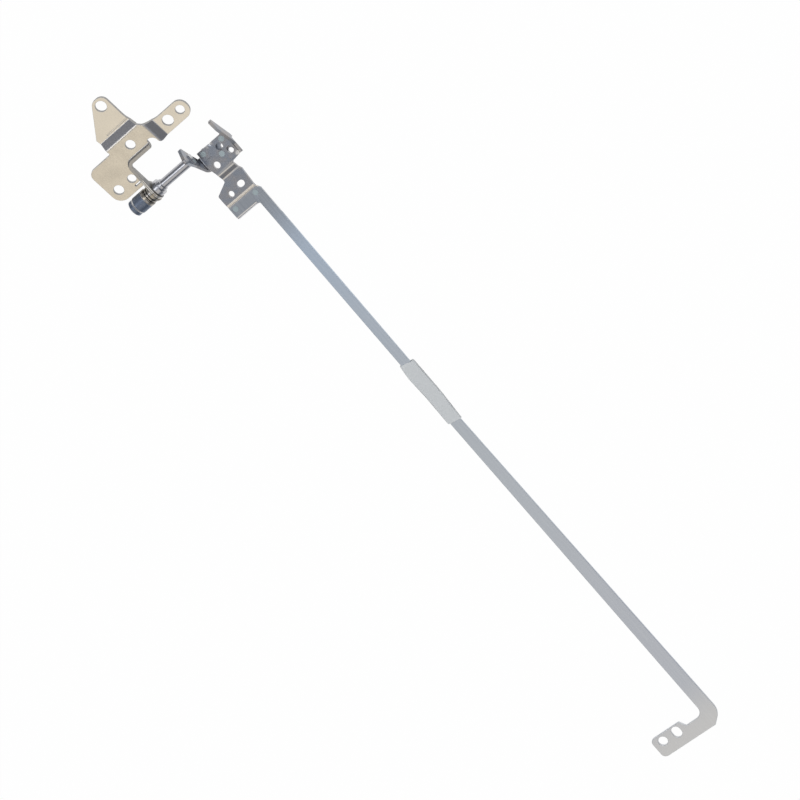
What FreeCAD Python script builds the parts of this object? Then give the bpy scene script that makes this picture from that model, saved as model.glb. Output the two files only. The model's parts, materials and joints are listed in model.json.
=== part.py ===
import FreeCAD, Part
import math
import os
from FreeCAD import Placement, Rotation, Vector

# Laptop hinge: base bracket, friction hinge and display bracket with a long screen rail.
# Sizes are in millimetres. The pieces are laid out from the hinge axis (X) and the knuckle lug's
# inner face, with Y towards the laptop's front and Z up, and are moved to the reference hole at the end.
# Display pieces are laid out with the lid opened flat and then turned to the pose angle.

# Pose: lid angle, measured from closed
lid_angle = 166.0

# Base bracket: sheet and levels
base_sheet = 1.0
plate_below_axis = 0.5
ear_drop = 2.0
bend_inside = 0.5
# Base bracket: plan of the raised plate
plate_left = -11.4
plate_rear = 3.3
plate_front = 16.0
plate_front_end = -2.2
plate_corner_front = 2.2
plate_corner_rear = 3.2
front_joggle_start = 17.4
front_joggle_run = 2.2
side_joggle_start = 11.2
side_joggle_run = 2.2
# Base bracket: ears
front_hole_x = 5.7
front_hole_y = 27.4
front_ear_margin = 2.7
front_ear_reach = 2.4
front_ear_corner = 2.2
front_ear_root_left = -3.0
front_ear_root_y = 21.0
front_ear_top_width = 4.0
die_line_left = 0.6
die_line_from_joggle = 0.5
die_line_width = 0.3
die_line_depth = 0.15
side_hole_x = 16.5
side_hole_y = 12.1
side_pin_pitch = 4.8
side_ear_front_margin = 2.7
side_ear_rear_margin = 2.95
side_ear_end_margin = 2.6
side_joggle_rear_y = 9.1
ear_valley_radius = 7.0
# Base bracket: holes
screw_hole = 3.3
side_pin_hole = 2.7
middle_hole = 2.9
middle_hole_x = 4.2
middle_hole_y = 14.4
rear_hole = 3.0
rear_hole_x = -8.4
rear_hole_y = 6.9
rear_pin_hole = 2.6
rear_pin_pitch = 5.3
# Base bracket: upturned rim, knuckle lug and relief cuts
rim_height = 1.3
rim_outer_y = 10.2
rim_end_x = 8.5
rim_corner = 1.3
notch_width = 2.4
notch_depth = 0.6
notch_corner = 0.5
lug_fold_rear_y = 4.9
lug_head_radius = 2.75
lug_throat_y = 3.4
slit_width = 0.5
slit_reach = 2.7
tongue_gap = 0.3
key_width = 1.0
key_depth = 0.55

# Shaft
stem_radius = 1.25
stem_half_flat = 0.95
stem_end_recess = 0.25
flange_radius = 2.4
flange_length = 1.2
shoulder_radius = 1.75
shoulder_length = 1.2
barrel_radius = 1.42
tang_radius = 1.1
tang_half_flat = 0.8
peen_radius = 1.75
peen_half_flat = 1.0
peen_height = 0.4
shaft_chamfer = 0.2

# Friction stack
running_clearance = 0.05
key_clearance = 0.03
inner_washer_radius = 2.3
inner_washer_sheet = 0.3
friction_plate_radius = 2.9
friction_plate_sheet = 0.4
outer_washer_radius = 2.8
outer_washer_sheet = 0.35
spring_count = 4
spring_outer_radius = 2.5
spring_sheet = 0.25
spring_cone = 0.15
pressure_washer_radius = 2.7
pressure_washer_sheet = 0.6
nut_radius = 2.65
nut_length = 4.0
nut_chamfer = 0.25
nut_taper = 0.6
collar_radius = 2.43
collar_length = 1.33

# Display bracket
display_sheet = 1.0
display_bend_inside = 0.4
display_below_axis = 4.3
display_joggle_start = 8.25
display_joggle_run = 1.7
display_joggle_drop = 1.0
display_joggle_inside = 0.9
display_front = 0.15
display_right = 24.6
display_corner = 0.6
shaft_ear_x = 13.9
shaft_ear_root_front = 1.2
shaft_ear_root_rear = 6.4
shaft_ear_chin_y = 0.4
shaft_ear_chin_z = -2.1
shaft_ear_tip_y = 4.6
shaft_ear_tip_z = 1.1
shaft_ear_crown_y = 0.5
shaft_ear_crown_z = 4.3
shaft_ear_neck_y = -2.5
shaft_ear_neck_z = -0.5
shaft_ear_corner = 0.6
shaft_ear_crown_radius = 1.2
neck_left = 14.7
neck_right = 20.8
neck_shoulder_y = 7.9
tail_left = 10.2
tail_right_front = 21.3
tail_right_rear = 20.6
tail_neck_y = 10.9
tail_shoulder_y = 12.9
tail_end_y = 20.4
rail_seat_start = 16.45
rail_seat_run = 0.5
rail_seat_drop = 0.2
display_hole = 2.1
display_hole_x = 16.7
display_hole_y = 5.9
under_hole = 1.7
under_hole_a_x = 21.95
under_hole_a_y = 2.95
under_hole_b_x = 22.9
under_hole_b_y = 5.3
tail_slot_x = 18.0
tail_slot_y = 14.1
tail_slot_length = 2.6
tail_slot_width = 1.9
tail_pin_hole = 1.8
tail_pin_x = 13.8
tail_pin_y = 14.65

# Ear bracket on the display bracket
ear_sheet = 0.9
ear_bend_inside = 0.35
ear_plate_left = 14.7
ear_plate_right = 26.0
ear_plate_rear_y = 7.45
ear_plate_arm_y = 2.9
ear_plate_arm_end = 17.6
ear_plate_slant_end = 21.9
ear_plate_corner = 0.8
finger_fold_front = 2.6
finger_fold_rear = 4.6
finger_heel_y = -1.8
finger_tip_y = 5.0
finger_tip_z = -0.1
finger_brow_y = 4.4
finger_brow_z = 1.0
finger_bridge_y = 1.5
finger_bridge_z = 0.4
finger_lip = 0.2
finger_corner = 0.4
finger_slit = 0.4
paired_hole = 2.2
paired_hole_a_x = 21.3
paired_hole_a_y = 2.4
paired_hole_b_x = 23.2
paired_hole_b_y = 4.9
shear_notch_width = 1.6
shear_notch_depth = 0.3
shear_notch_x = 19.2

# Rivets
rivet_radius = 0.85
rivet_head_radius = 1.35
rivet_head_height = 0.4
rivet_clearance = 0.02
ear_rivet_row_y = 1.1
ear_rivet_left_x = 16.1
ear_rivet_right_x = 23.3
ear_rivet_middle_x = 20.5
ear_rivet_middle_y = 4.35

# Screen rail
rail_sheet = 0.8
rail_bend_inside = 0.2
rail_length = 223.1
rail_width = 3.2
rail_width_before_sleeve = 3.05
rail_width_after_sleeve = 3.4
rail_width_far = 4.5
rail_centre_x = 20.55
rail_centre_before_sleeve_x = 20.0
rail_centre_after_sleeve_x = 19.85
rail_centre_far_x = 20.15
foot_front_y = 17.1
foot_rear_y = 21.5
foot_left = 10.5
foot_right = 21.3
foot_chamfer_y = 18.5
foot_corner = 0.4
foot_flange_depth = 2.4
foot_web = 0.25
foot_inner_radius = 0.5
rail_rivet_y = 18.58
rail_rivet_left_x = 12.05
rail_rivet_right_x = 19.9
far_foot_left = -0.6
far_foot_width = 6.95
far_foot_corner = 1.6
far_step_x = 10.3
far_step_run = 1.2
far_neck_width = 4.75
far_inner_radius = 2.6
far_corner_x = 18.7
far_corner_rise = 3.0
far_outer_radius = 5.0
far_hole = 2.9
far_hole_x = 2.7
far_hole_from_end = 4.7
far_slot_pitch = 5.2
far_slot_width = 2.8
far_slot_length = 3.65

# Tape sleeve round the rail
sleeve_start_y = 82.6
sleeve_length = 22.3
sleeve_width = 4.35
sleeve_offset = 0.4
sleeve_skew = 1.7
sleeve_tape = 0.15
sleeve_corner = 0.3

# Worked out from the sizes above
plate_top = -plate_below_axis
plate_bottom = plate_top - base_sheet
ear_top = plate_top - ear_drop
ear_bottom = ear_top - base_sheet
rim_top = plate_top + rim_height
bend_reach = base_sheet + bend_inside
side_pin_x = side_hole_x + side_pin_pitch
side_ear_end = side_pin_x + side_ear_end_margin
rear_pin_x = rear_hole_x + rear_pin_pitch
stem_bore_radius = stem_radius + running_clearance
friction_plate_x = -base_sheet - friction_plate_sheet
outer_washer_x = friction_plate_x - outer_washer_sheet
spring_pitch = spring_sheet + spring_cone
spring_pack_x = outer_washer_x - spring_count * spring_pitch
pressure_washer_x = spring_pack_x - pressure_washer_sheet
nut_x = pressure_washer_x - nut_length
collar_x = nut_x - collar_length
display_top = -display_below_axis
display_bottom = display_top - display_sheet
tail_top = display_top - display_joggle_drop
seat_top = tail_top - rail_seat_drop
seat_bottom = seat_top - display_sheet
ear_plate_top = display_top + ear_sheet
rail_top = seat_top + rail_sheet
shaft_ear_outer_x = shaft_ear_x - display_sheet
ear_rivet_places = [
    (ear_rivet_left_x, -ear_rivet_row_y),
    (ear_rivet_right_x, -ear_rivet_row_y),
    (ear_rivet_middle_x, -ear_rivet_middle_y),
]
rail_rivet_places = [(rail_rivet_left_x, -rail_rivet_y), (rail_rivet_right_x, -rail_rivet_y)]
reference_hole = Vector(side_hole_x, side_hole_y, ear_bottom)
cut_reach = 2 * (display_below_axis + display_joggle_drop)


def rounded_face(corners):
    """Flat face whose corners are (u, v) points, or (u, v, radius) points for rounded ones."""
    count = len(corners)
    points = [Vector(corner[0], corner[1], 0) for corner in corners]
    trims = []
    for i, corner in enumerate(corners):
        radius = corner[2] if len(corner) > 2 else 0
        back = (points[i - 1] - points[i]).normalize()
        ahead = (points[(i + 1) % count] - points[i]).normalize()
        if radius == 0:
            trims.append((points[i], None, points[i]))
            continue
        half = back.getAngle(ahead) / 2
        setback = radius / math.tan(half)
        bisector = (back + ahead).normalize()
        middle = points[i] + bisector * (radius / math.sin(half) - radius)
        trims.append((points[i] + back * setback, middle, points[i] + ahead * setback))
    edges = []
    for i, (start, middle, end) in enumerate(trims):
        if middle is not None:
            edges.append(Part.Arc(start, middle, end).toShape())
        following = trims[(i + 1) % count][0]
        if end.distanceToPoint(following) > Part.Precision.confusion():
            edges.append(Part.LineSegment(end, following).toShape())
    return Part.Face(Part.Wire(edges))


def along_x(face, x, length):
    """Face drawn in (Y, Z), thickened along X from x."""
    solid = face.extrude(Vector(0, 0, length))
    solid.Placement = Placement(Vector(x, 0, 0), Rotation(Vector(1, 1, 1), 120))
    return solid


def along_y(face, y, length):
    """Face drawn in (X, Z), thickened along -Y from y."""
    solid = face.extrude(Vector(0, 0, length))
    solid.Placement = Placement(Vector(0, y, 0), Rotation(Vector(1, 0, 0), 90))
    return solid


def along_z(face, z, length):
    """Face drawn in (X, Y), thickened along Z from z."""
    solid = face.extrude(Vector(0, 0, length))
    solid.translate(Vector(0, 0, z))
    return solid


def rod(x, length, radius):
    """Cylinder along X from x."""
    return Part.makeCylinder(radius, length, Vector(x, 0, 0), Vector(1, 0, 0))


def turned(profile):
    """Solid of revolution round X from its (x, radius) profile."""
    points = [Vector(x, radius, 0) for x, radius in profile]
    return Part.Face(Part.makePolygon(points + points[:1])).revolve(Vector(), Vector(1, 0, 0), 360)


def flatted_rod(x, length, radius, half_flat):
    """Cylinder along X with two flats, above and below the axis."""
    between_flats = Part.makeBox(length, 2 * radius, 2 * half_flat, Vector(x, -radius, -half_flat))
    return rod(x, length, radius).common(between_flats)


def keyed_washer(x, thickness, radius):
    """Flat washer along X from x, with the stem's two-flat hole."""
    hole = flatted_rod(x, thickness, stem_radius + key_clearance, stem_half_flat + key_clearance)
    return rod(x, thickness, radius).cut(hole)


def drill(x, y, diameter):
    """Upright cutter for a round hole."""
    return Part.makeCylinder(diameter / 2, 2 * cut_reach, Vector(x, y, -cut_reach))


def slot_cutter(x, y, length, width, direction):
    """Upright cutter for a slot whose long way runs along direction."""
    offset = direction * ((length - width) / 2)
    ends = [drill(x - offset.x, y - offset.y, width), drill(x + offset.x, y + offset.y, width)]
    side = Vector(-direction.y, direction.x, 0) * (width / 2)
    centre = Vector(x, y, -cut_reach)
    near, far = centre - offset, centre + offset
    corners = [far + side, near + side, near - side, far - side]
    middle = Part.Face(Part.makePolygon(corners + corners[:1])).extrude(Vector(0, 0, 2 * cut_reach))
    return middle.fuse(ends)


def joggle_face(start, steps, end, level, sheet):
    """Section (along, height) of a sheet that steps down along its way.

    A step is (place, run, drop, inside bend radius).
    """
    top = [(start, level)]
    bottom = [(start, level - sheet)]
    for place, run, drop, inside in steps:
        outside = inside + sheet
        shift = sheet * math.tan(math.atan2(drop, run) / 2)
        top += [(place, level, outside), (place + run, level - drop, inside)]
        bottom += [(place - shift, level - sheet, inside)]
        bottom += [(place + run - shift, level - drop - sheet, outside)]
        level -= drop
    top.append((end, level))
    bottom.append((end, level - sheet))
    return rounded_face(bottom + top[::-1])


def tangent_point(point, radius, turn):
    """Where a line from point (u, v) touches a circle round the origin; turn (+1, -1) picks the side."""
    distance = math.hypot(point[0], point[1])
    angle = math.atan2(point[1], point[0]) + turn * math.acos(radius / distance)
    return Vector(radius * math.cos(angle), radius * math.sin(angle), 0)


def base_outline():
    """Plan of the whole base bracket, as seen from above."""
    side_front = side_hole_y + side_ear_front_margin
    side_rear = side_hole_y - side_ear_rear_margin
    ear_right = front_hole_x + front_ear_margin
    ear_front = front_hole_y + front_ear_reach
    tongue_end = -base_sheet - tongue_gap
    slit_end = tongue_end - slit_reach
    bend_y = rim_outer_y + bend_reach
    notch_y = bend_y + notch_depth
    return rounded_face([
        (plate_left, plate_rear, plate_corner_rear),
        (tongue_end, plate_rear, bend_inside),
        (tongue_end, lug_fold_rear_y - slit_width),
        (slit_end, lug_fold_rear_y - slit_width),
        (slit_end, lug_fold_rear_y),
        (-bend_reach, lug_fold_rear_y),
        (-bend_reach, bend_y, rim_corner + bend_reach),
        (rim_end_x, bend_y),
        (rim_end_x, notch_y, notch_corner),
        (rim_end_x + notch_width, notch_y, notch_width - notch_corner),
        (rim_end_x + notch_width, side_joggle_rear_y, notch_width / 2),
        (side_ear_end, side_rear, side_ear_end_margin),
        (side_ear_end, side_front, side_ear_end_margin),
        (ear_right, side_front, ear_valley_radius),
        (ear_right, ear_front, front_ear_corner),
        (ear_right - front_ear_top_width, ear_front, front_ear_corner),
        (front_ear_root_left, front_ear_root_y, bend_inside),
        (plate_front_end, plate_front, bend_inside),
        (plate_left, plate_front, plate_corner_front),
    ])


def upturn_face(towards, bottom, sheet, inside, top):
    """Section (across, height) of a sheet turned up, with its wall's outer side at 0.

    The sheet lies towards (+1, -1).
    """
    reach = sheet + inside
    return rounded_face([
        (0, top),
        (0, bottom, reach),
        (towards * reach, bottom),
        (towards * reach, bottom + sheet),
        (towards * sheet, bottom + sheet, inside),
        (towards * sheet, top),
    ])


def rim_wall():
    """Upturned wall round the notch: the rim, its rounded corner and the root of the lug."""
    corner_y = rim_outer_y - rim_corner
    rim_section = upturn_face(1, plate_bottom, base_sheet, bend_inside, rim_top)
    rim = along_x(rim_section, rim_corner, rim_end_x - rim_corner)
    rim.translate(Vector(0, rim_outer_y, 0))
    section = upturn_face(-1, plate_bottom, base_sheet, bend_inside, rim_top)
    root = along_y(section, corner_y, corner_y - lug_fold_rear_y)
    section.Placement = Placement(Vector(0, corner_y, 0), Rotation(Vector(1, 0, 0), 90))
    corner = section.revolve(Vector(rim_corner, corner_y, 0), Vector(0, 0, -1), 90)
    return rim.fuse([root, corner])


def lug():
    """Knuckle lug: the wall grown into a round head with the shaft's bore and the key notch."""
    upper_root = (rim_outer_y - rim_corner, rim_top)
    lower_root = (lug_throat_y, plate_top)
    upper = tangent_point(upper_root, lug_head_radius, 1)
    lower = tangent_point(lower_root, lug_head_radius, -1)
    edges = [
        Part.LineSegment(Vector(*upper_root, 0), upper).toShape(),
        Part.Arc(upper, Vector(-lug_head_radius, 0, 0), lower).toShape(),
        Part.LineSegment(lower, Vector(*lower_root, 0)).toShape(),
        Part.LineSegment(Vector(*lower_root, 0), Vector(upper_root[0], lower_root[1], 0)).toShape(),
        Part.LineSegment(Vector(upper_root[0], lower_root[1], 0), Vector(*upper_root, 0)).toShape(),
    ]
    plate = along_x(Part.Face(Part.Wire(edges)), -base_sheet, base_sheet)
    bore = rod(-base_sheet, base_sheet, stem_bore_radius)
    key = Part.makeBox(base_sheet, key_width, 2 * key_depth,
                       Vector(-base_sheet, -key_width / 2, lug_head_radius - key_depth))
    return plate.cut(bore).cut(key)


def die_line():
    """Cutter for the line that the die pressed into the front ear, beside its joggle."""
    line_y = front_joggle_start + front_joggle_run + die_line_from_joggle
    line_end = front_hole_x + front_ear_margin
    return Part.makeBox(line_end - die_line_left, die_line_width, 2 * die_line_depth,
                        Vector(die_line_left, line_y, ear_top - die_line_depth))


def base_bracket():
    """Raised plate with two ears stepped down, the upturned rim and the knuckle lug."""
    outline = along_z(base_outline(), -cut_reach, 2 * cut_reach)
    front = joggle_face(plate_rear, [(front_joggle_start, front_joggle_run, ear_drop, bend_inside)],
                        front_hole_y + front_ear_reach, plate_top, base_sheet)
    side = joggle_face(rim_end_x, [(side_joggle_start, side_joggle_run, ear_drop, bend_inside)],
                       side_ear_end, plate_top, base_sheet)
    split = side_joggle_start - bend_inside - base_sheet
    front_sheet = along_x(front, plate_left, split - plate_left).common(outline)
    side_start = side_hole_y + side_ear_front_margin + ear_valley_radius
    right_of_split = Part.makeBox(side_ear_end, side_start, 2 * cut_reach, Vector(split, 0, -cut_reach))
    side_sheet = along_y(side, side_start, side_start).common(outline).common(right_of_split)
    bracket = front_sheet.fuse([side_sheet, rim_wall(), lug()])
    holes = [
        drill(front_hole_x, front_hole_y, screw_hole),
        drill(side_hole_x, side_hole_y, screw_hole),
        drill(side_pin_x, side_hole_y, side_pin_hole),
        drill(middle_hole_x, middle_hole_y, middle_hole),
        drill(rear_hole_x, rear_hole_y, rear_hole),
        drill(rear_pin_x, rear_hole_y, rear_pin_hole),
    ]
    return bracket.cut(holes + [die_line()]).removeSplitter()


def pivot_shaft():
    """Turned shaft: stem with two flats, flange, shoulder, barrel and peened tang."""
    flange_x = inner_washer_sheet
    shoulder_x = flange_x + flange_length
    barrel_x = shoulder_x + shoulder_length
    profile = [
        (flange_x, 0),
        (flange_x, flange_radius),
        (shoulder_x, flange_radius),
        (shoulder_x, shoulder_radius),
        (barrel_x - shaft_chamfer, shoulder_radius),
        (barrel_x, shoulder_radius - shaft_chamfer),
        (barrel_x, barrel_radius),
        (shaft_ear_outer_x, barrel_radius),
        (shaft_ear_outer_x, 0),
    ]
    body = turned(profile)
    stem_x = collar_x + stem_end_recess
    stem = flatted_rod(stem_x, friction_plate_x - stem_x, stem_radius, stem_half_flat)
    journal = rod(friction_plate_x, flange_x - friction_plate_x, stem_radius)
    tang = flatted_rod(shaft_ear_outer_x, display_sheet, tang_radius, tang_half_flat)
    peen = flatted_rod(shaft_ear_x, peen_height, peen_radius, peen_half_flat)
    domed_peen = peen.makeChamfer(peen_height / 2, [e for e in peen.Edges if is_outer_end(e)])
    return body.fuse([stem, journal, tang, domed_peen]).removeSplitter()


def is_outer_end(edge):
    """True for the edges of the peened head's outer face."""
    return edge.BoundBox.XMin > shaft_ear_x + peen_height - Part.Precision.confusion()


def inner_friction_washer():
    """Washer between the shaft's flange and the lug."""
    return rod(0, inner_washer_sheet, inner_washer_radius).cut(rod(0, inner_washer_sheet, stem_bore_radius))


def tabbed_friction_plate():
    """Friction plate on the lug's outer face, with a tab bent into the lug's key notch."""
    disc = rod(friction_plate_x, friction_plate_sheet, friction_plate_radius)
    tab_width = key_width - 2 * key_clearance
    tab_bottom = lug_head_radius - key_depth
    tab_height = key_depth
    tab = Part.makeBox(friction_plate_sheet + base_sheet, tab_width, tab_height,
                       Vector(friction_plate_x, -tab_width / 2, tab_bottom))
    bore = rod(friction_plate_x, friction_plate_sheet, stem_bore_radius)
    return disc.fuse(tab).cut(bore).removeSplitter()


def disc_spring(index):
    """Conical spring washer; every second one is turned round."""
    x = outer_washer_x - (index + 1) * spring_pitch
    inner = stem_bore_radius
    rim_shift = spring_cone if index % 2 == 0 else 0
    hub_shift = spring_cone - rim_shift
    profile = [
        (x + hub_shift, inner),
        (x + rim_shift, spring_outer_radius),
        (x + rim_shift + spring_sheet, spring_outer_radius),
        (x + hub_shift + spring_sheet, inner),
    ]
    return turned(profile)


def end_nut():
    """Round lock nut, tapered to its crimp collar."""
    bore_radius = stem_radius + key_clearance
    profile = [
        (collar_x, bore_radius),
        (collar_x, collar_radius - nut_chamfer),
        (collar_x + nut_chamfer, collar_radius),
        (nut_x, collar_radius),
        (nut_x + nut_taper, nut_radius),
        (pressure_washer_x - nut_chamfer, nut_radius),
        (pressure_washer_x, nut_radius - nut_chamfer),
        (pressure_washer_x, bore_radius),
    ]
    return turned(profile)


def edge_notch(x):
    """Cutter for a sheared-off carrier mark on the display plates' front edge."""
    radius = shear_notch_width / 2
    return drill(x, display_front + radius - shear_notch_depth, shear_notch_width)


def rivet_holes(places):
    """Cutters for the rivets at these (x, y) places."""
    return [drill(x, y, 2 * (rivet_radius + rivet_clearance)) for x, y in places]


def rivets(places, top, bottom):
    """Group of rivets, flush on top, each with a formed head under the lower sheet."""
    group = []
    for x, y in places:
        shank = Part.makeCylinder(rivet_radius, top - bottom, Vector(x, y, bottom))
        head_bottom = Vector(x, y, bottom - rivet_head_height)
        head = Part.makeCone(rivet_radius, rivet_head_radius, rivet_head_height, head_bottom)
        group.append(shank.fuse(head).removeSplitter())
    return Part.makeCompound(group)


def display_outline():
    """Plan of the display bracket with the lid opened flat."""
    flat_left = shaft_ear_outer_x + display_sheet + display_bend_inside
    return rounded_face([
        (flat_left, display_front),
        (flat_left, -shaft_ear_root_rear),
        (neck_left, -neck_shoulder_y),
        (neck_left, -tail_neck_y, display_corner),
        (tail_left, -tail_shoulder_y, display_corner),
        (tail_left, -tail_end_y, display_corner),
        (tail_right_rear, -tail_end_y, display_corner),
        (tail_right_front, -tail_neck_y, display_corner),
        (neck_right, -display_joggle_start - display_joggle_run),
        (neck_right, -neck_shoulder_y, display_corner),
        (display_right, -ear_plate_rear_y, display_corner),
        (display_right, display_front),
    ])


def shaft_ear():
    """Ear that the shaft's tang is peened into."""
    root_top = display_top + 2 * display_bend_inside
    outline = rounded_face([
        (-shaft_ear_root_front, display_bottom),
        (-shaft_ear_root_front, root_top),
        (shaft_ear_chin_y, shaft_ear_chin_z, shaft_ear_corner),
        (shaft_ear_tip_y, shaft_ear_tip_z, shaft_ear_corner),
        (shaft_ear_crown_y, shaft_ear_crown_z, shaft_ear_crown_radius),
        (shaft_ear_neck_y, shaft_ear_neck_z, shaft_ear_crown_radius),
        (-shaft_ear_root_rear, display_bottom),
    ])
    blank = along_x(outline, shaft_ear_outer_x, display_sheet + display_bend_inside)
    section = upturn_face(1, display_bottom, display_sheet, display_bend_inside, shaft_ear_crown_z)
    folded = along_y(section, shaft_ear_tip_y, shaft_ear_tip_y + shaft_ear_root_rear)
    folded.translate(Vector(shaft_ear_outer_x, 0, 0))
    hole = flatted_rod(shaft_ear_outer_x, display_sheet, tang_radius + key_clearance,
                       tang_half_flat + key_clearance)
    return blank.common(folded).cut(hole)


def display_bracket():
    """Plate with the shaft's ear, stepped down to the tail and, slightly, to the rail's seat."""
    steps = [
        (display_joggle_start, display_joggle_run, display_joggle_drop, display_joggle_inside),
        (rail_seat_start, rail_seat_run, rail_seat_drop, display_bend_inside),
    ]
    section = joggle_face(-display_front, steps, tail_end_y, display_top, display_sheet)
    sheet = along_x(section, tail_left, display_right - tail_left).mirror(Vector(), Vector(0, 1, 0))
    sheet = sheet.common(along_z(display_outline(), -cut_reach, 2 * cut_reach))
    holes = rivet_holes(ear_rivet_places + rail_rivet_places) + [
        drill(display_hole_x, -display_hole_y, display_hole),
        drill(under_hole_a_x, -under_hole_a_y, under_hole),
        drill(under_hole_b_x, -under_hole_b_y, under_hole),
        drill(tail_pin_x, -tail_pin_y, tail_pin_hole),
        slot_cutter(tail_slot_x, -tail_slot_y, tail_slot_length, tail_slot_width, Vector(1, 0, 0)),
        edge_notch(shear_notch_x),
    ]
    return sheet.fuse(shaft_ear()).cut(holes).removeSplitter()


def finger_ear():
    """Finger that is folded up at the ear bracket's outer side and reaches forward past the plate."""
    inner_x = ear_plate_right - ear_sheet
    lip_top = ear_plate_top + finger_lip
    side = rounded_face([
        (-ear_plate_rear_y, display_top),
        (finger_heel_y, display_top),
        (finger_tip_y, finger_tip_z, finger_corner),
        (finger_brow_y, finger_brow_z, finger_corner),
        (finger_bridge_y, finger_bridge_z),
        (-finger_fold_rear, lip_top),
        (-ear_plate_rear_y, lip_top),
    ])
    free = Part.makeBox(ear_sheet, cut_reach, 2 * cut_reach,
                        Vector(inner_x, -finger_fold_front, -cut_reach))
    section = upturn_face(-1, display_top, ear_sheet, ear_bend_inside, finger_brow_z)
    folded = along_y(section, -finger_fold_front, ear_plate_rear_y - finger_fold_front)
    folded.translate(Vector(ear_plate_right, 0, 0))
    blank = along_x(side, ear_plate_left, ear_plate_right - ear_plate_left)
    return blank.common(free).fuse(blank.common(folded))


def ear_bracket():
    """Second plate on the display bracket, with the finger ear at its outer side."""
    slit_x = ear_plate_right - ear_sheet - finger_slit
    fold_x = ear_plate_right - ear_sheet - ear_bend_inside
    outline = rounded_face([
        (ear_plate_left, display_front),
        (ear_plate_left, -ear_plate_arm_y, ear_plate_corner),
        (ear_plate_arm_end, -ear_plate_arm_y, ear_plate_corner),
        (ear_plate_slant_end, -ear_plate_rear_y, ear_plate_corner),
        (fold_x, -ear_plate_rear_y),
        (fold_x, -finger_fold_front),
        (slit_x, -finger_fold_front),
        (slit_x, display_front),
    ])
    plate = along_z(outline, display_top, ear_sheet)
    holes = rivet_holes(ear_rivet_places) + [
        drill(paired_hole_a_x, -paired_hole_a_y, paired_hole),
        drill(paired_hole_b_x, -paired_hole_b_y, paired_hole),
        edge_notch(shear_notch_x),
    ]
    return plate.fuse(finger_ear()).cut(holes).removeSplitter()


def rail_sides(centre, width):
    """The rail's left and right edge where it has this centre and width."""
    return centre - width / 2, centre + width / 2


def screen_rail():
    """Long tapered rail with a flanged foot at the hinge and a holed foot at the far end."""
    near_left, near_right = rail_sides(rail_centre_x, rail_width)
    before_left, before_right = rail_sides(rail_centre_before_sleeve_x, rail_width_before_sleeve)
    after_left, after_right = rail_sides(rail_centre_after_sleeve_x, rail_width_after_sleeve)
    far_left, far_right = rail_sides(rail_centre_far_x, rail_width_far)
    sleeve_end_y = sleeve_start_y + sleeve_length
    flange_end = near_left - foot_inner_radius - foot_web
    flat_rear = -foot_rear_y + rail_sheet + rail_bend_inside
    far_neck = far_neck_width - rail_length
    outline = rounded_face([
        (foot_left, -foot_front_y, foot_corner),
        (foot_left, flat_rear),
        (flange_end, flat_rear),
        (flange_end, -foot_rear_y),
        (near_left, -foot_rear_y, foot_inner_radius),
        (before_left, -sleeve_start_y),
        (after_left, -sleeve_end_y),
        (far_left, far_neck, far_inner_radius),
        (far_step_x + far_step_run, far_neck),
        (far_step_x, far_foot_width - rail_length, foot_corner),
        (far_foot_left, far_foot_width - rail_length, far_foot_corner),
        (far_foot_left, -rail_length, far_foot_corner),
        (far_corner_x, -rail_length),
        (far_right, far_corner_rise - rail_length, far_outer_radius),
        (after_right, -sleeve_end_y),
        (before_right, -sleeve_start_y),
        (near_right, -foot_chamfer_y, foot_corner),
        (foot_right, -foot_front_y, foot_corner),
    ])
    flange_face = upturn_face(1, -rail_top, rail_sheet, rail_bend_inside, foot_flange_depth - rail_top)
    flange = along_x(flange_face, foot_left, flange_end - foot_left).mirror(Vector(), Vector(0, 0, 1))
    flange.translate(Vector(0, -foot_rear_y, 0))
    far_row = far_hole_from_end - rail_length
    holes = rivet_holes(rail_rivet_places) + [
        drill(far_hole_x, far_row, far_hole),
        slot_cutter(far_hole_x + far_slot_pitch, far_row, far_slot_length, far_slot_width, Vector(0, 1, 0)),
    ]
    return along_z(outline, seat_top, rail_sheet).fuse(flange).cut(holes).removeSplitter()


def rail_label():
    """Blank tape sleeve wrapped loosely round the rail, slightly askew."""
    centre = rail_centre_before_sleeve_x + sleeve_offset
    left = centre - sleeve_width / 2
    right = centre + sleeve_width / 2
    section = rounded_face([
        (left, seat_top - sleeve_tape, sleeve_corner),
        (right, seat_top - sleeve_tape, sleeve_corner),
        (right, rail_top + sleeve_tape, sleeve_corner),
        (left, rail_top + sleeve_tape, sleeve_corner),
    ])
    opening = rounded_face([
        (left + sleeve_tape, seat_top),
        (right - sleeve_tape, seat_top),
        (right - sleeve_tape, rail_top),
        (left + sleeve_tape, rail_top),
    ])
    sleeve = along_y(section.cut(opening), -sleeve_start_y, sleeve_length)
    sleeve.rotate(Vector(centre, -sleeve_start_y, 0), Vector(0, 0, 1), -sleeve_skew)
    return sleeve


def swing(shape):
    """Turn a display piece from the flat-open pose to the lid angle."""
    shape.rotate(Vector(), Vector(1, 0, 0), lid_angle - 180)
    return shape


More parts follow.
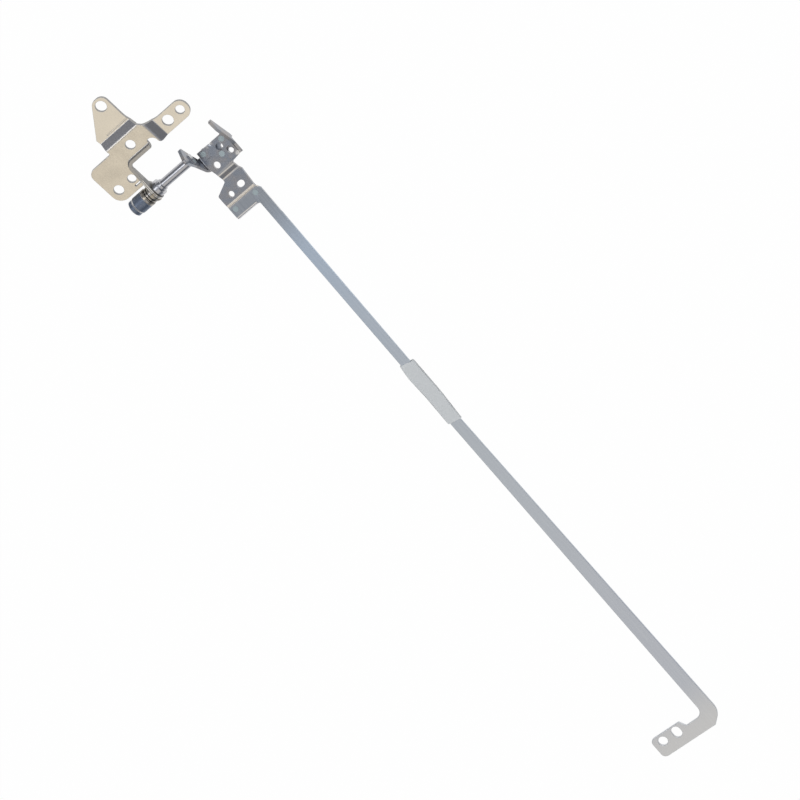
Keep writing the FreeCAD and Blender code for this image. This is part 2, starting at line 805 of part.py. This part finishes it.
os.makedirs("parts", exist_ok=True)
nodes = {
    "base_bracket": base_bracket(),
    "tabbed_friction_plate": tabbed_friction_plate(),
    "pivot_shaft": swing(pivot_shaft()),
    "inner_friction_washer": swing(inner_friction_washer()),
    "outer_friction_washer": swing(keyed_washer(outer_washer_x, outer_washer_sheet, outer_washer_radius)),
    "pressure_washer": swing(
        keyed_washer(pressure_washer_x, pressure_washer_sheet, pressure_washer_radius)),
    "end_nut": swing(end_nut()),
    "display_bracket": swing(display_bracket()),
    "ear_bracket": swing(ear_bracket()),
    "ear_rivets": swing(rivets(ear_rivet_places, ear_plate_top, display_bottom)),
    "screen_rail": swing(screen_rail()),
    "rail_rivets": swing(rivets(rail_rivet_places, rail_top, seat_bottom)),
    "rail_label": swing(rail_label()),
}
for index in range(spring_count):
    nodes[f"disc_spring_{index + 1}"] = swing(disc_spring(index))
for name, shape in nodes.items():
    shape.translate(-reference_hole)
    shape.exportStep(f"parts/{name}.step")
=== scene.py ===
"""Looks of a laptop screen hinge with its long screen rail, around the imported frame."""
import json
import math

import bmesh
import bpy
from mathutils import Matrix, Vector
from mathutils.bvhtree import BVHTree


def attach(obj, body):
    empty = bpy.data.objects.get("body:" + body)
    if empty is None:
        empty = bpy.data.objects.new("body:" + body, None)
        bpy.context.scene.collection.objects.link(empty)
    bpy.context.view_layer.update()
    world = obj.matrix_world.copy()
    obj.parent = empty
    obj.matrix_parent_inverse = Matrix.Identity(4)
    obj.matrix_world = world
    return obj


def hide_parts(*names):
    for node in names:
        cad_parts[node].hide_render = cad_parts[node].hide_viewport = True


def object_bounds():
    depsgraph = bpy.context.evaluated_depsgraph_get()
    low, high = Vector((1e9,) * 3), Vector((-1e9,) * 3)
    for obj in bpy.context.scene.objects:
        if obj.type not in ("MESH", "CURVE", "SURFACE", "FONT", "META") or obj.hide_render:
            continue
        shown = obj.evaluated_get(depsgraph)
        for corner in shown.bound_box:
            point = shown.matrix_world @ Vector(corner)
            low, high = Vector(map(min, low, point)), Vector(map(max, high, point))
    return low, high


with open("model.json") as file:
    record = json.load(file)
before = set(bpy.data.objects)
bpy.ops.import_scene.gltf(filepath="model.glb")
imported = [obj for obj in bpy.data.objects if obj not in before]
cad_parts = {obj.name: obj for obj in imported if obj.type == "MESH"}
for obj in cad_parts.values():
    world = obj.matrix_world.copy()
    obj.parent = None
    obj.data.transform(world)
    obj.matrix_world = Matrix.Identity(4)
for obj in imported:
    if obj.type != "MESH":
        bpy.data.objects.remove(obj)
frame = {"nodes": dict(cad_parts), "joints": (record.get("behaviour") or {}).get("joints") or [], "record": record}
cad_box = [list(corner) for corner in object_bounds()]

MM = 0.001
HINGE_POINT = Vector(frame["joints"][0]["pos_m"])
# How far the lid is turned from level at rest.
LID_RISE = math.radians(14.0)

# Places on the base bracket, in millimetres along the frame's axes.
EAR_TOP = 1.2
PLATE_TOP = 3.0
LUG_HEAD_Y = -7.5
LUG_MIDDLE_X = -17.0
TORN_LINE_OFF_MIDDLE = 0.24

# Places along the lid, in millimetres from the hinge's axis.
JOGGLE_TOP = 8.6
JOGGLE_FOOT = 10.1
RAIL_SEAT = 16.45
FOOT_REAR = 27.0

# Places on the level lid, across and along it in millimetres, where the shear left bright burrs.
LEFT_BURR = (19.2, 0.0)
RIGHT_BURR = (24.4, -7.3)

# Changes of tone along the rail: start and end in millimetres from the hinge's axis, share, colour.
RAIL_TONES = (
    (19.0, 42.0, 1.0, (0.52, 0.605, 0.71)),
    (30.0, 100.0, 0.75, (0.525, 0.55, 0.58)),
    (110.0, 200.0, 1.0, (0.505, 0.535, 0.595)),
    (205.0, 222.0, 1.0, (0.615, 0.622, 0.635)),
)

# Sheet-metal nodes, the body that each rides and the rounding of its edges in millimetres.
STAMPED = (
    ("base_bracket", "base", 0.08),
    ("display_bracket", "lid", 0.08),
    ("ear_bracket", "lid", 0.06),
    ("screen_rail", "lid", 0.12),
)
# Limits for points that coincide, a rivet that fills a hole, flat neighbours and sharp edges.
SAME_POINT = 0.001 * MM
TOUCHING = 0.1 * MM
FLAT_ANGLE = math.radians(0.1)
SHARP_ANGLE = math.radians(40)

# The tape: edges that run along it are cut up, so that its outline can bend.
TAPE_LONG_EDGE = 5 * MM
TAPE_CUTS = 30
# A worn corner takes a share of the tape's length, and is worn back by these millimetres.
CORNER_SHARE = 0.05
CORNER_NARROWER = 0.5
INNER_CORNER_SHORTER = 0.75
OUTER_CORNER_SHORTER = 0.8

# Direction from the part to the room's bright patch.
PATCH_DIRECTION = Vector((-0.41, -0.28, 0.868)).normalized()


class Value:
    """A socket of a finish; arithmetic on it adds Math nodes."""

    def __init__(self, finish, socket):
        self.finish = finish
        self.socket = socket

    def _math(self, operation, *values):
        return self.finish.node("ShaderNodeMath", {"operation": operation}, dict(enumerate(values)))

    def __add__(self, other):
        return self._math("ADD", self, other)

    def __sub__(self, other):
        return self._math("SUBTRACT", self, other)

    def __mul__(self, other):
        return self._math("MULTIPLY", self, other)

    def __radd__(self, other):
        return self._math("ADD", other, self)

    def __rsub__(self, other):
        return self._math("SUBTRACT", other, self)

    def __rmul__(self, other):
        return self._math("MULTIPLY", other, self)

    def __abs__(self):
        return self._math("ABSOLUTE", self)

    def above(self, low, high):
        """0 below low, 1 above high, smooth between."""
        return self.finish.node("ShaderNodeMapRange", {"interpolation_type": "SMOOTHSTEP"},
                                {"Value": self, "From Min": low, "From Max": high})


class Finish:
    """A material, or the world, as a node tree that is built from expressions."""

    def __init__(self, holder):
        holder.use_nodes = True
        self.holder = holder
        self.tree = holder.node_tree
        self.tree.nodes.clear()

    def node(self, kind, settings=None, inputs=None, output=0):
        """Add a node: its settings first, then its sockets' values or links. Gives one output."""
        made = self.tree.nodes.new(kind)
        for name, setting in (settings or {}).items():
            setattr(made, name, setting)
        for name, value in (inputs or {}).items():
            socket = made.inputs[name]
            if isinstance(value, Value):
                self.tree.links.new(value.socket, socket)
            elif socket.type == "RGBA":
                socket.default_value = (*value, 1.0)
            else:
                socket.default_value = value
        return Value(self, made.outputs[output]) if made.outputs else None

    def place(self, lid=False):
        """Position on the piece in millimetres, for lid pieces turned level with the rail along Y."""
        spot = self.node("ShaderNodeTexCoord", output="Object")
        if lid:
            spot = self.node("ShaderNodeVectorMath", {"operation": "SUBTRACT"}, {0: spot, 1: HINGE_POINT})
            spot = self.node("ShaderNodeMapping", {"vector_type": "POINT"},
                             {"Vector": spot, "Rotation": (LID_RISE, 0, 0)})
        return self.node("ShaderNodeVectorMath", {"operation": "SCALE"}, {0: spot, "Scale": 1 / MM})

    def stretch(self, spot, x, y, z):
        """Position scaled along its axes, to draw a texture out."""
        return self.node("ShaderNodeVectorMath", {"operation": "MULTIPLY"}, {0: spot, 1: (x, y, z)})

    def noise(self, spot, size, detail, rough=0.5):
        """Cloudy noise around 0.5, with features of this size in millimetres."""
        return self.node("ShaderNodeTexNoise", {}, {"Vector": spot, "Scale": 1 / size, "Detail": detail,
                                                    "Roughness": rough})

    def part(self, spot, axis):
        """One coordinate of a position or direction."""
        return self.node("ShaderNodeSeparateXYZ", {}, {"Vector": spot}, axis)

    def facing(self, axis):
        """One coordinate of the direction that a face looks in, with the piece at rest."""
        outward = self.node("ShaderNodeNewGeometry", output="True Normal")
        turn_back = {"vector_type": "NORMAL", "convert_from": "WORLD", "convert_to": "OBJECT"}
        return self.part(self.node("ShaderNodeVectorTransform", turn_back, {"Vector": outward}), axis)

    def larger(self, first, second):
        """The larger of two values."""
        return self.node("ShaderNodeMath", {"operation": "MAXIMUM"}, {0: first, 1: second})

    def line(self, along, middle, reach):
        """1 at this value of a coordinate, fading to 0 within this reach on both sides."""
        return 1 - abs(along - middle).above(0.3 * reach, reach)

    def near(self, spot, place, radius):
        """1 around a place on the plan, fading to 0 at this radius."""
        flat = self.stretch(spot, 1, 1, 0)
        away = self.node("ShaderNodeVectorMath", {"operation": "DISTANCE"}, {0: flat, 1: (*place, 0)},
                         "Value")
        return 1 - away.above(0.4 * radius, radius)

    def mix(self, share, first, second):
        """Colour between two colours."""
        return self.node("ShaderNodeMix", {"data_type": "RGBA"}, {"Factor": share, "A": first, "B": second},
                         "Result")

    def bump(self, height, distance):
        """Normal from a height that runs from 0 to 1, for a relief of this many millimetres."""
        return self.node("ShaderNodeBump", {}, {"Height": height, "Distance": distance * MM, "Strength": 1.0})

    def surface(self, **sockets):
        """Finish the material with one Principled shader; names use _ for blanks in the sockets' names."""
        inputs = {name.replace("_", " "): value for name, value in sockets.items()}
        shader = self.node("ShaderNodeBsdfPrincipled", {}, inputs)
        self.node("ShaderNodeOutputMaterial", {}, {"Surface": shader})
        return self.holder


def finish(name):
    """A new material of this name, ready for its nodes."""
    return Finish(bpy.data.materials.new(name))


def plated_plate():
    """Warm satin plating with a fine grain, painted shade on the slopes, greyer on the rim, the lug and the
    sheared edges, and a painted highlight on the lug's torn edge.
    """
    dull = (0.57, 0.52, 0.435)
    bright = (0.80, 0.73, 0.605)
    stain = (0.42, 0.39, 0.34)
    pale_ear = (0.85, 0.79, 0.68)
    slope_painted_shade = (0.54, 0.525, 0.53)
    edge_dark = (0.26, 0.255, 0.25)
    edge_light = (0.46, 0.45, 0.43)
    torn_dark = (0.27, 0.268, 0.265)
    torn_edge_painted_highlight = (0.95, 0.90, 0.81)
    look = finish("plated_plate")
    spot = look.place()
    height = look.part(spot, "Z")
    up = abs(look.facing("Z"))
    grain = look.noise(spot, 0.28, 4.0, 0.7)
    cloud = look.noise(spot, 5.0, 2.0)
    rolled = look.noise(look.stretch(spot, 6.0, 0.35, 6.0), 1.0, 3.0)
    tone = (grain * 0.55 + cloud * 0.25 + rolled * 0.2).above(0.3, 0.7)
    face = look.mix(tone, dull, bright)
    fleck = look.noise(spot, 0.8, 4.0, 0.75).above(0.6, 0.7)
    face = look.mix(fleck * 0.25, face, stain)
    ear = 1 - height.above(EAR_TOP, EAR_TOP + 0.4)
    face = look.mix(ear * 0.5, face, pale_ear)
    # Painted shade: faces tilted from straight up, the joggle slopes, turn a darker grey.
    face = look.mix(1 - up.above(0.86, 0.99), face, slope_painted_shade)
    side = 1 - up.above(0.15, 0.45)
    upturned = height.above(PLATE_TOP + 0.15, PLATE_TOP + 0.5)
    streak = look.noise(look.stretch(spot, 5.0, 5.0, 0.6), 1.0, 2.0)
    edge = look.mix(streak, edge_dark, edge_light)
    # The lug's torn edge: real striations, whose bright streaks are a painted highlight.
    off_line = abs(abs(look.part(spot, "X") - LUG_MIDDLE_X) - TORN_LINE_OFF_MIDDLE)
    torn = look.noise(look.stretch(spot, 0.3, 1.5, 1.5), 1.0, 3.0).above(0.3, 0.5)
    head = look.mix((1 - off_line.above(0.06, 0.16)) * torn, torn_dark, torn_edge_painted_highlight)
    at_head = 1 - look.part(spot, "Y").above(LUG_HEAD_Y, LUG_HEAD_Y + 1.0)
    edge = look.mix(upturned * at_head, edge, head)
    return look.surface(Base_Color=look.mix(look.larger(side, upturned * 0.85), face, edge), Metallic=0.92,
                        Roughness=0.24 + 0.12 * grain + 0.15 * side,
                        Normal=look.bump(grain * 0.7 + rolled * 0.3, 0.004))


def grey_plate():
    """Grey satin plating of the display brackets: brownish clouds, fine scratches, painted highlights along the
    bends and on the rail seat.
    """
    bluish = (0.305, 0.325, 0.365)
    brownish = (0.38, 0.355, 0.345)
    grain_pale = (0.42, 0.43, 0.45)
    scratch_pale = (0.62, 0.61, 0.6)
    burr_bright = (0.86, 0.82, 0.76)
    bend_painted_highlight = (0.93, 0.88, 0.81)
    seat_painted_highlight = (0.95, 0.88, 0.78)
    look = finish("grey_plate")
    spot = look.place(lid=True)
    along = look.part(spot, "Y") * -1
    upper = look.facing("Z").above(0.2, 0.5)
    grain = look.noise(spot, 0.3, 4.0, 0.65)
    cloud = look.noise(spot, 2.6, 3.0)
    face = look.mix(cloud.above(0.35, 0.7), bluish, brownish)
    face = look.mix(grain * 0.3, face, grain_pale)
    scratch = look.noise(look.stretch(spot, 0.4, 5.0, 1.0), 0.6, 2.0).above(0.66, 0.74)
    face = look.mix(scratch * 0.35, face, scratch_pale)
    burrs = look.larger(look.near(spot, LEFT_BURR, 1.5), look.near(spot, RIGHT_BURR, 1.3))
    face = look.mix(burrs * cloud.above(0.4, 0.6), face, burr_bright)
    # Painted highlights: bright lines along the top and the foot of the joggle, on upward faces.
    bends = look.larger(look.line(along, JOGGLE_TOP, 0.3) * 0.85, look.line(along, JOGGLE_FOOT, 0.3) * 0.55)
    face = look.mix(bends * upper, face, bend_painted_highlight)
    # Painted highlight: the bend down to the rail seat is a bright cream band, less metallic and rougher, on
    # upward faces.
    seat = along.above(RAIL_SEAT - 0.15, RAIL_SEAT) * (1 - along.above(RAIL_SEAT + 0.5, RAIL_SEAT + 0.65))
    seat_highlight = seat * upper
    return look.surface(Base_Color=look.mix(seat_highlight, face, seat_painted_highlight), Metallic=0.9 - 0.85 * seat_highlight,
                        Roughness=0.17 + 0.12 * grain + 0.06 * cloud + 0.3 * seat_highlight,
                        Normal=look.bump(grain, 0.004))


def rail_strip():
    """Rolled strip: fine streaks along the rail, bluish by the hinge and neutral at the far foot, with a painted
    reflection on the rear flange and a painted highlight on the foot's front edge.
    """
    foot_grey = (0.345, 0.367, 0.398)
    streak_pale = (0.80, 0.82, 0.84)
    flange_painted_reflection = (0.88, 0.86, 0.86)
    lip_painted_highlight = (0.88, 0.80, 0.70)
    look = finish("rail_strip")
    spot = look.place(lid=True)
    along = look.part(spot, "Y") * -1
    to_front = look.facing("Y")
    streak = look.noise(look.stretch(spot, 5.0, 0.06, 5.0), 1.0, 4.0, 0.65)
    grain = look.noise(spot, 0.3, 3.0)
    face = foot_grey
    for start, end, share, tone in RAIL_TONES:
        face = look.mix(along.above(start, end) * share, face, tone)
    face = look.mix(streak.above(0.35, 0.75) * 0.2, face, streak_pale)
    # Painted reflection: the bent-down flange at the foot's rear turns pale, as if it mirrored the white floor.
    flange = (1 - to_front.above(-0.1, 0.1)) * (1 - along.above(FOOT_REAR, FOOT_REAR + 0.5))
    face = look.mix(flange * look.facing("Z").above(-0.2, 0.1), face, flange_painted_reflection)
    # Painted highlight: the foot's front edge by the seat is a bright cream line, less metallic and rougher.
    lip = to_front.above(0.2, 0.5) * (1 - along.above(RAIL_SEAT + 1.0, RAIL_SEAT + 1.5))
    return look.surface(Base_Color=look.mix(lip, face, lip_painted_highlight), Metallic=0.9 - 0.75 * lip,
                        Roughness=0.25 + 0.1 * streak + 0.25 * lip,
                        Normal=look.bump(streak * 0.6 + grain * 0.4, 0.003))


def turned_steel():
    """Bright turned steel with fine rings round the shaft and paler ends."""
    groove = (0.375, 0.385, 0.42)
    ridge = (0.575, 0.585, 0.62)
    end_pale = (0.60, 0.61, 0.63)
    brown_film = (0.42, 0.37, 0.33)
    look = finish("turned_steel")
    spot = look.place(lid=True)
    ring = look.noise(look.stretch(spot, 1.0, 0.03, 0.03), 0.12, 2.0)
    cloud = look.noise(spot, 1.4, 2.0)
    face = look.mix(ring, groove, ridge)
    end = abs(look.facing("X")).above(0.6, 0.8)
    face = look.mix(end, face, end_pale)
    return look.surface(Base_Color=look.mix(cloud * 0.3, face, brown_film), Metallic=1.0,
                        Roughness=0.2 + 0.1 * ring, Normal=look.bump(ring, 0.008))


def straw_washer():
    """Hardened washers with a straw tint."""
    steel = (0.29, 0.29, 0.30)
    straw = (0.42, 0.375, 0.305)
    look = finish("straw_washer")
    spot = look.place(lid=True)
    ring = look.noise(look.stretch(spot, 1.0, 0.05, 0.05), 0.1, 2.0)
    cloud = look.noise(spot, 0.9, 3.0)
    return look.surface(Base_Color=look.mix(cloud.above(0.35, 0.65), steel, straw), Metallic=1.0,
                        Roughness=0.2 + 0.14 * ring, Normal=look.bump(ring, 0.008))


def bright_spring():
    """Spring steel with a thin film of oil colour."""
    steel = (0.28, 0.272, 0.257)
    oil = (0.39, 0.36, 0.315)
    look = finish("bright_spring")
    cloud = look.noise(look.place(lid=True), 0.8, 3.0)
    return look.surface(Base_Color=look.mix(cloud.above(0.3, 0.7), steel, oil), Metallic=1.0,
                        Roughness=0.18 + 0.12 * cloud)


def blackened_nut():
    """Blue-black treated steel, semi-gloss, with turning rings, wear, and pale chamfer rings that are partly worn
    bare metal and partly a painted reflection.
    """
    black = (0.14, 0.175, 0.24)
    blue = (0.195, 0.225, 0.285)
    worn = (0.72, 0.71, 0.70)
    look = finish("blackened_nut")
    spot = look.place(lid=True)
    ring = look.noise(look.stretch(spot, 1.0, 0.04, 0.04), 0.16, 2.0)
    cloud = look.noise(spot, 0.7, 4.0)
    face = look.mix(cloud, black, blue)
    # The chamfer rings turn pale, partly as worn bare metal and partly as a painted reflection of the floor;
    # sparse pale spots are wear.
    slope = abs(look.facing("X"))
    rim = slope.above(0.2, 0.3) * (1 - slope.above(0.8, 0.9))
    face = look.mix(look.larger(rim * 0.85, cloud.above(0.62, 0.78) * 0.2), face, worn)
    return look.surface(Base_Color=face, Metallic=0.85,
                        Roughness=0.36 + 0.16 * ring, Normal=look.bump(ring, 0.01))


def ground_rivet():
    """Rivet ends ground flush with their plate."""
    dark = (0.40, 0.475, 0.49)
    light = (0.50, 0.565, 0.58)
    look = finish("ground_rivet")
    swirl = look.noise(look.place(lid=True), 0.35, 4.0, 0.7)
    return look.surface(Base_Color=look.mix(swirl, dark, light), Metallic=0.88,
                        Roughness=0.36 + 0.18 * swirl, Normal=look.bump(swirl, 0.006))


def white_tape():
    """Blank white film tape with a faint fibre and slightly grubby clouds."""
    clean = (0.83, 0.845, 0.84)
    grubby = (0.76, 0.775, 0.765)
    look = finish("white_tape")
    spot = look.place(lid=True)
    fibre = look.noise(look.stretch(spot, 2.0, 0.8, 2.0), 0.5, 4.0)
    cloud = look.noise(spot, 3.5, 2.0)
    return look.surface(Base_Color=look.mix(fibre * 0.15 + cloud * 0.6, clean, grubby),
                        Roughness=0.42 + 0.15 * fibre, Normal=look.bump(cloud + fibre * 0.02, 0.06))


FINISHES = {
    "plate_steel": plated_plate(),
    "bracket_steel": grey_plate(),
    "rail_steel": rail_strip(),
    "turned_steel": turned_steel(),
    "washer_steel": straw_washer(),
    "spring_steel": bright_spring(),
    "blackened_steel": blackened_nut(),
    "rivet_steel": ground_rivet(),
    "label_tape": white_tape(),
}
SLOT_OF = {part["node"]: part["material_slot"] for part in frame["record"]["subparts"]}


def dress(piece, slot):
    """Give a piece the finish of its slot."""
    piece.data.materials.clear()
    piece.data.materials.append(FINISHES[slot])


def show_instead(mesh, node, body):
    """Show a mesh in the place of a CAD node, in the node's finish."""
    piece = bpy.data.objects.new(mesh.name, mesh)
    bpy.context.scene.collection.objects.link(piece)
    # Full weight on the larger faces keeps the flats flat beside rounded edges.
    piece.modifiers.new("flat_faces", "WEIGHTED_NORMAL").weight = 100
    dress(piece, SLOT_OF[node])
    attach(piece, body)
    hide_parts(node)


def skin_of(node):
    """Surface of a CAD node, to find the nearest point on it."""
    mesh = frame["nodes"][node].data
    points = [vertex.co for vertex in mesh.vertices]
    return BVHTree.FromPolygons(points, [face.vertices for face in mesh.polygons])


RIVETS = [skin_of(node) for node in ("ear_rivets", "rail_rivets")]


def filled(edge):
    """Whether a rivet fills the hole at this edge."""
    middle = (edge.verts[0].co + edge.verts[1].co) / 2
    return any(rivet.find_nearest(middle)[3] < TOUCHING for rivet in RIVETS)


def sheared(edge):
    """Whether an edge is a sharp outer corner of the sheet that no rivet fills."""
    return edge.is_convex and edge.calc_face_angle() > SHARP_ANGLE and not filled(edge)


def welded_form(mesh):
    """Editable form of a mesh, with the points that coincide made one."""
    form = bmesh.new()
    form.from_mesh(mesh)
    bmesh.ops.remove_doubles(form, verts=form.verts, dist=SAME_POINT)
    return form


def stamped_copy(node, body, rounding):
    """Copy of a sheet-metal node with its sheared edges rounded, shown in the node's place."""
    mesh = frame["nodes"][node].data.copy()
    mesh.name = node + "_rounded"
    form = welded_form(mesh)
    skin = skin_of(node)
    bmesh.ops.dissolve_limit(form, angle_limit=FLAT_ANGLE, verts=form.verts, edges=form.edges)
    edges = [edge for edge in form.edges if sheared(edge)]
    bmesh.ops.bevel(form, geom=edges, offset=rounding * MM, segments=2, profile=0.5, affect="EDGES")
    for vertex in form.verts:
        nearest, _, _, distance = skin.find_nearest(vertex.co)
        if distance > rounding * MM:
            vertex.co = nearest
    for face in form.faces:
        face.smooth = True
    form.to_mesh(mesh)
    form.free()
    show_instead(mesh, node, body)


def swell(share, height, middle, spread):
    """How far the tape stands off its rail, in millimetres, around a middle along its length."""
    return height * math.exp(-((share - middle) / spread) ** 2)


def worn_corner(share):
    """1 at the end of the tape where share is 0, fading to 0 over the length of a worn corner."""
    return max(0.0, 1 - share / CORNER_SHARE)


def loose_tape(node, body):
    """Copy of the tape sleeve with the uneven edges of hand-wrapped tape, shown in the node's place."""
    mesh = frame["nodes"][node].data.copy()
    mesh.name = node + "_wrapped"
    form = welded_form(mesh)
    lengthwise = [edge for edge in form.edges if edge.calc_length() > TAPE_LONG_EDGE]
    bmesh.ops.subdivide_edges(form, edges=lengthwise, cuts=TAPE_CUTS)
    lengths = [-vertex.co.y for vertex in form.verts]
    widths = [vertex.co.x for vertex in form.verts]
    start = min(lengths)
    length = max(lengths) - start
    centre = (min(widths) + max(widths)) / 2
    for vertex in form.verts:
        share = (-vertex.co.y - start) / length
        inner_side = vertex.co.x < centre
        if inner_side:
            worn = worn_corner(1 - share)
            aside = CORNER_NARROWER * worn - swell(share, height=0.5, middle=0.2, spread=0.2)
            along = INNER_CORNER_SHORTER * worn
        else:
            worn = worn_corner(share)
            aside = swell(share, height=0.24, middle=0.55, spread=0.2) - CORNER_NARROWER * worn
            along = -OUTER_CORNER_SHORTER * worn
        vertex.co += Vector((aside, along, 0)) * MM
    form.to_mesh(mesh)
    form.free()
    show_instead(mesh, node, body)


for node, piece in frame["nodes"].items():
    dress(piece, SLOT_OF[node])
for node, body, rounding in STAMPED:
    stamped_copy(node, body, rounding)
loose_tape("rail_label", "lid")


def paper_floor():
    """White paper that the camera and the metal see as white, with a trace of the shadow."""
    white_share = 0.985
    look = finish("paper_floor")
    path = {name: look.node("ShaderNodeLightPath", output=name)
            for name in ("Is Camera Ray", "Is Glossy Ray", "Is Transmission Ray")}
    seen = (path["Is Camera Ray"] + path["Is Glossy Ray"] + path["Is Transmission Ray"]) * white_share
    paper = look.node("ShaderNodeBsdfDiffuse", {}, {"Color": (0.9, 0.9, 0.9)})
    white = look.node("ShaderNodeEmission", {}, {"Color": (1.0, 1.0, 1.0), "Strength": 1.0})
    surface = look.node("ShaderNodeMixShader", {}, {0: seen, 1: paper, 2: white})
    look.node("ShaderNodeOutputMaterial", {}, {"Surface": surface})
    return look.holder


def floor():
    """Paper sheet just under the part."""
    reach = 3.0
    gap = 0.4 * MM
    level = cad_box[0][2] - gap
    corners = [(x * reach, y * reach, level) for x, y in ((-1, -1), (1, -1), (1, 1), (-1, 1))]
    mesh = bpy.data.meshes.new("paper")
    mesh.from_pydata(corners, [], [(0, 1, 2, 3)])
    mesh.materials.append(paper_floor())
    sheet = bpy.data.objects.new("paper", mesh)
    bpy.context.scene.collection.objects.link(sheet)


def studio():
    """Grey room: lighter overhead, in front and low behind, with a soft warm patch overhead."""
    cool = (0.92, 0.98, 1.08)
    warm = (1.0, 0.96, 0.9)
    world = bpy.data.worlds.new("studio")
    bpy.context.scene.world = world
    look = Finish(world)
    direction = look.node("ShaderNodeTexCoord", output="Generated")
    height = look.part(direction, "Z")
    to_front = look.part(direction, "Y")
    patch = look.node("ShaderNodeVectorMath", {"operation": "DOT_PRODUCT"},
                      {0: direction, 1: PATCH_DIRECTION}, "Value").above(0.865, 0.965)
    overhead = height.above(0.3, 0.95)
    front = to_front.above(0.2, 0.95)
    rear = (to_front * -1).above(0.5, 0.9) * (1 - height.above(0.1, 0.5))
    light = 0.11 + 0.38 * overhead + 0.16 * front + 0.35 * rear + 0.5 * patch
    room = look.node("ShaderNodeBackground", {}, {"Color": look.mix(patch, cool, warm), "Strength": light})
    look.node("ShaderNodeOutputWorld", {}, {"Surface": room})


def lamp(name, place, target, size, power):
    """Square soft lamp that faces target."""
    light = bpy.data.lights.new(name, "AREA")
    light.size = size
    light.energy = power
    holder = bpy.data.objects.new(name, light)
    holder.location = place
    holder.rotation_euler = (Vector(target) - Vector(place)).to_track_quat("-Z", "Y").to_euler()
    bpy.context.scene.collection.objects.link(holder)


def camera():
    """Camera at the photograph's viewing angle, from the fitted place and axes."""
    place = Vector((257.88, 144.76, 603.33)) * MM
    right = Vector((0.72927, -0.68296, -0.04154))
    up = Vector((0.56621, 0.63646, -0.52376))
    back = Vector((0.38414, 0.35844, 0.85085))
    lens = bpy.data.cameras.new("camera")
    lens.lens = 108.0
    lens.sensor_width = 36.0
    lens.clip_start = 0.01
    lens.clip_end = 10.0
    holder = bpy.data.objects.new("camera", lens)
    turn = Matrix((right, up, back)).transposed().to_4x4()
    holder.matrix_world = Matrix.Translation(place) @ turn
    bpy.context.scene.collection.objects.link(holder)
    bpy.context.scene.camera = holder


floor()
studio()
lamp("overhead", place=(-0.61, 0.82, 1.23), target=(0, 0, 0), size=0.5, power=1.7)
lamp("front_fill", place=(0.9, 0.8, 0.95), target=(0, -0.1, 0), size=1.6, power=8.5)
camera()
bpy.context.scene.view_settings.view_transform = "Standard"
